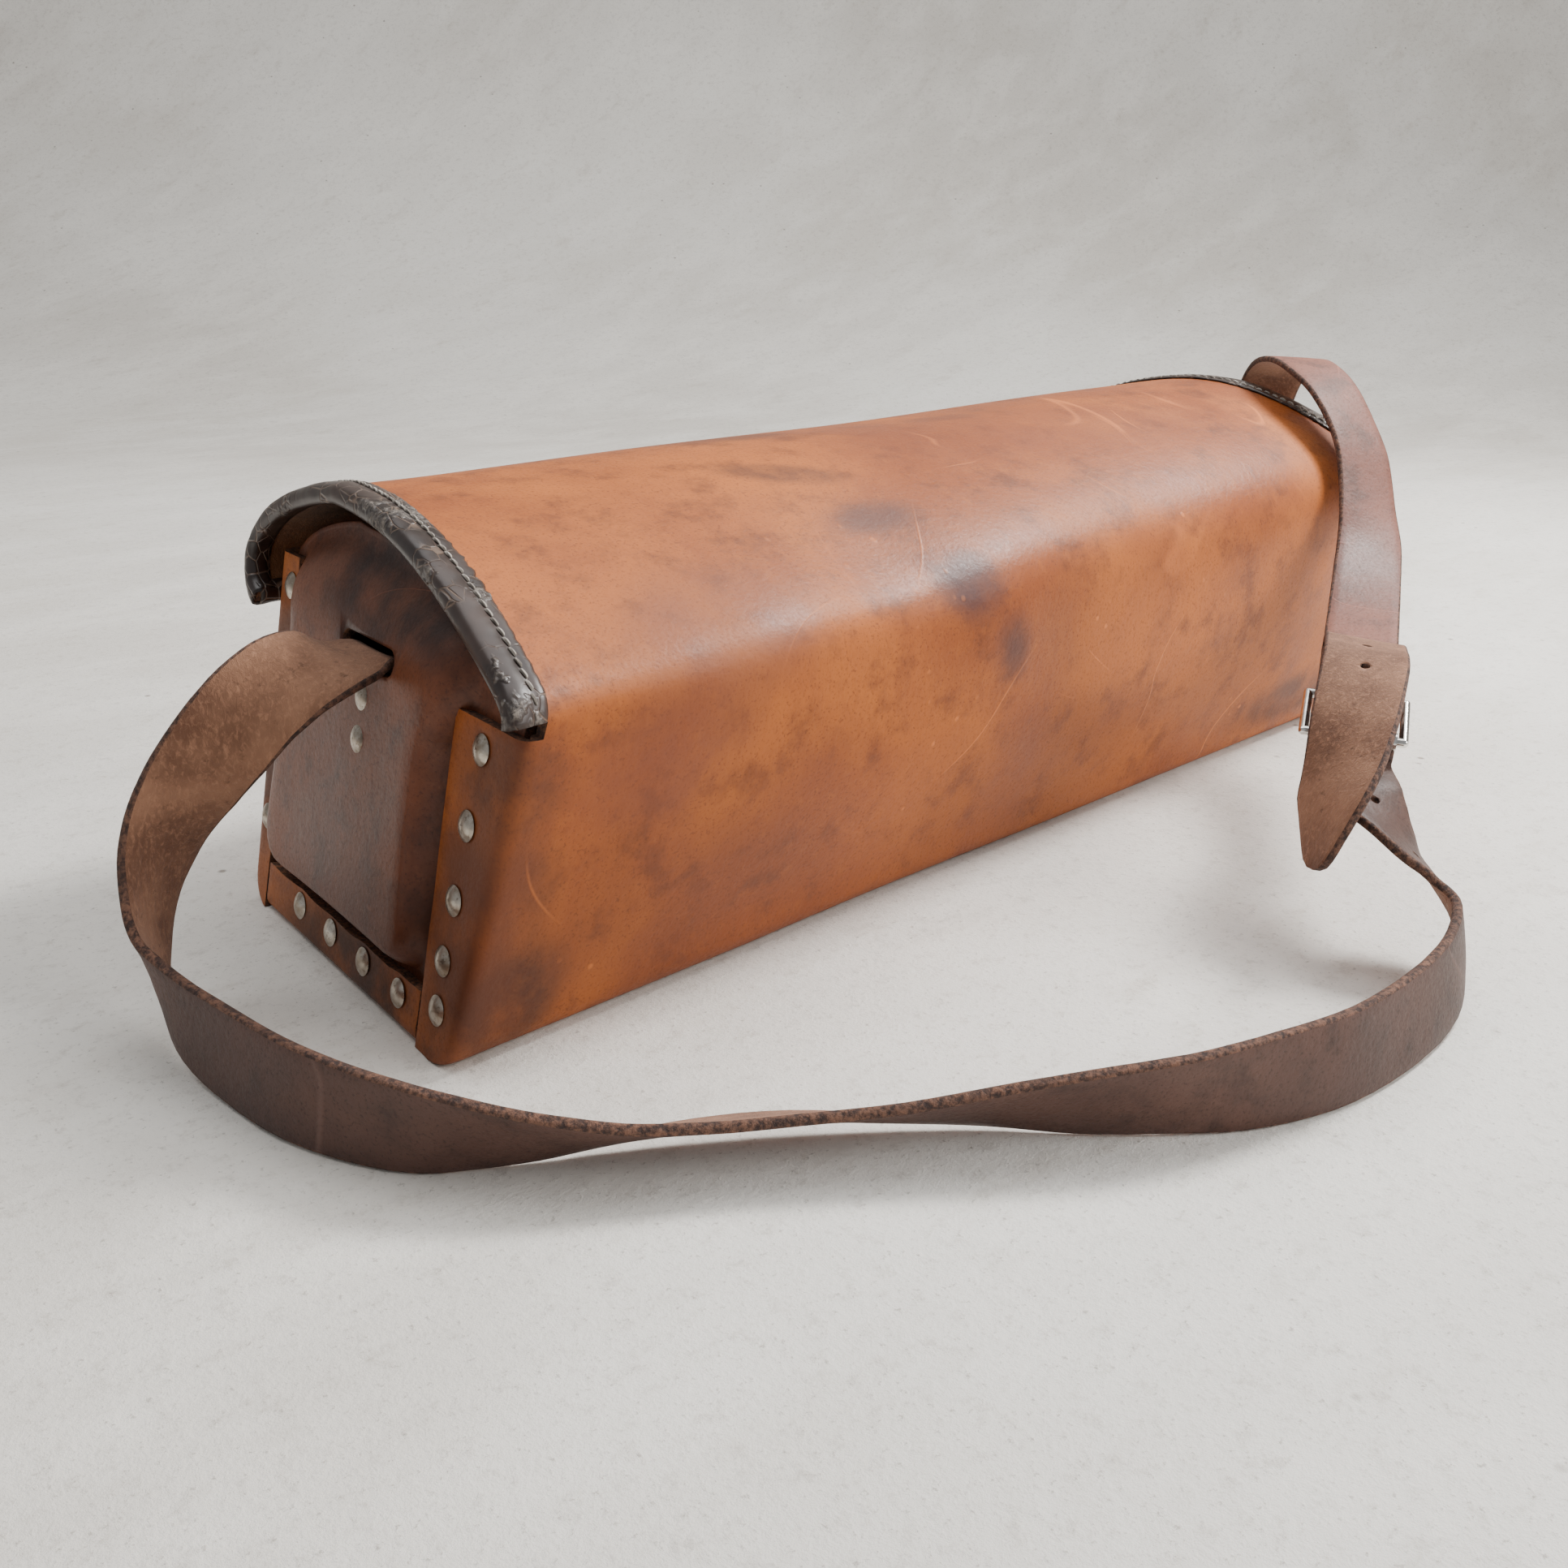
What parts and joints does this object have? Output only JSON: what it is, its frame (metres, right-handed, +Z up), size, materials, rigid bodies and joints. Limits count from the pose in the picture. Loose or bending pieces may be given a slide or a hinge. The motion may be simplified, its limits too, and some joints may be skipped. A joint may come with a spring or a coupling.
{
  "type": "bowling ball bag",
  "caption": "Long leather bag for bowling balls: folded tub, riveted end panels, domed flap lid with dark binding and a buckled shoulder strap.",
  "frame": {"origin": "middle of the footprint, on the surface the bag stands on", "axes": "+X along the bag, +Y towards the opening side, +Z up"},
  "size_m": [0.6392, 0.3995, 0.1862],
  "materials": {
    "tan_leather": "worn cognac leather, mottled and scratched",
    "panel_leather": "darker red-brown leather with a greyish sheen",
    "binding_leather": "near-black glossy binding, worn through in places",
    "strap_leather": "dark brown strap, suede on the back",
    "red_strap_leather": "reddish brown strap",
    "tab_leather": "brown leather tab",
    "rivet_nickel": "worn nickel",
    "buckle_nickel": "bright nickel",
    "lock_nickel": "satin nickel",
    "dull_steel": "dull steel"
  },
  "bodies": {
    "bag": {"body": "tan_leather", "end_panel_left": "panel_leather", "end_panel_right": "panel_leather", "rivets_left": "rivet_nickel", "rivets_right": "rivet_nickel", "burrs_left": "dull_steel", "burrs_right": "dull_steel", "strap_long": "strap_leather", "strap_short": "red_strap_leather", "strap_rivets_left": "rivet_nickel", "strap_rivets_right": "rivet_nickel", "strap_burrs_left": "dull_steel", "strap_burrs_right": "dull_steel", "buckle_rivet": "buckle_nickel", "lock_plate_left": "lock_nickel", "lock_plate_right": "lock_nickel", "lock_washer_left": "dull_steel", "lock_washer_right": "dull_steel"},
    "lid": {"lid": "tan_leather", "binding_left": "binding_leather", "binding_right": "binding_leather", "binding_front": "binding_leather", "tab_root_left": "tab_leather", "tab_root_right": "tab_leather", "tab_rivets_left": "rivet_nickel", "tab_rivets_right": "rivet_nickel", "tab_burrs_left": "dull_steel", "tab_burrs_right": "dull_steel"},
    "tab_left": {"closure_tab_left": "tab_leather", "eyelet_left": "lock_nickel"},
    "tab_right": {"closure_tab_right": "tab_leather", "eyelet_right": "lock_nickel"},
    "knob_left": {"lock_knob_left": "lock_nickel"},
    "knob_right": {"lock_knob_right": "lock_nickel"},
    "buckle": {"buckle_frame": "buckle_nickel"},
    "roller": {"buckle_roller": "buckle_nickel"},
    "prong": {"buckle_prong": "buckle_nickel"}
  },
  "joints": [
    {"name": "lid_flex", "type": "hinge", "parent": "bag", "child": "lid", "pos_m": [0, -0.105, 0.119], "axis": [1, 0, 0], "range_deg": [0, 110], "deforming": ["strap_short"]},
    {"name": "tab_flex_left", "type": "hinge", "parent": "lid", "child": "tab_left", "pos_m": [-0.125, 0.1125, 0.126], "axis": [1, 0, 0], "range_deg": [-20, 150]},
    {"name": "knob_turn_left", "type": "hinge", "parent": "bag", "child": "knob_left", "pos_m": [-0.125, 0.09023, 0.086], "axis": [0, 0.9993, -0.0376], "range_deg": [0, 90]},
    {"name": "tab_flex_right", "type": "hinge", "parent": "lid", "child": "tab_right", "pos_m": [0.125, 0.1125, 0.126], "axis": [1, 0, 0], "range_deg": [-20, 150]},
    {"name": "knob_turn_right", "type": "hinge", "parent": "bag", "child": "knob_right", "pos_m": [0.125, 0.09023, 0.086], "axis": [0, 0.9993, -0.0376], "range_deg": [0, 90]},
    {"name": "buckle_swing", "type": "hinge", "parent": "bag", "child": "buckle", "pos_m": [0.068, -0.192, 0.075], "axis": [-0.4515, 0.8918, 0.0299], "range_deg": [0, 15], "deforming": ["strap_long", "strap_short"]},
    {"name": "prong_swing", "type": "hinge", "parent": "buckle", "child": "prong", "pos_m": [0.068, -0.192, 0.075], "axis": [-0.4515, 0.8918, 0.0299], "range_deg": [0, 12], "deforming": ["strap_long", "strap_short"]},
    {"name": "roller_spin", "type": "hinge", "parent": "buckle", "child": "roller", "pos_m": [0.04584, -0.20295, 0.06692], "axis": [-0.4515, 0.8918, 0.0299], "continuous": true}
  ]
}
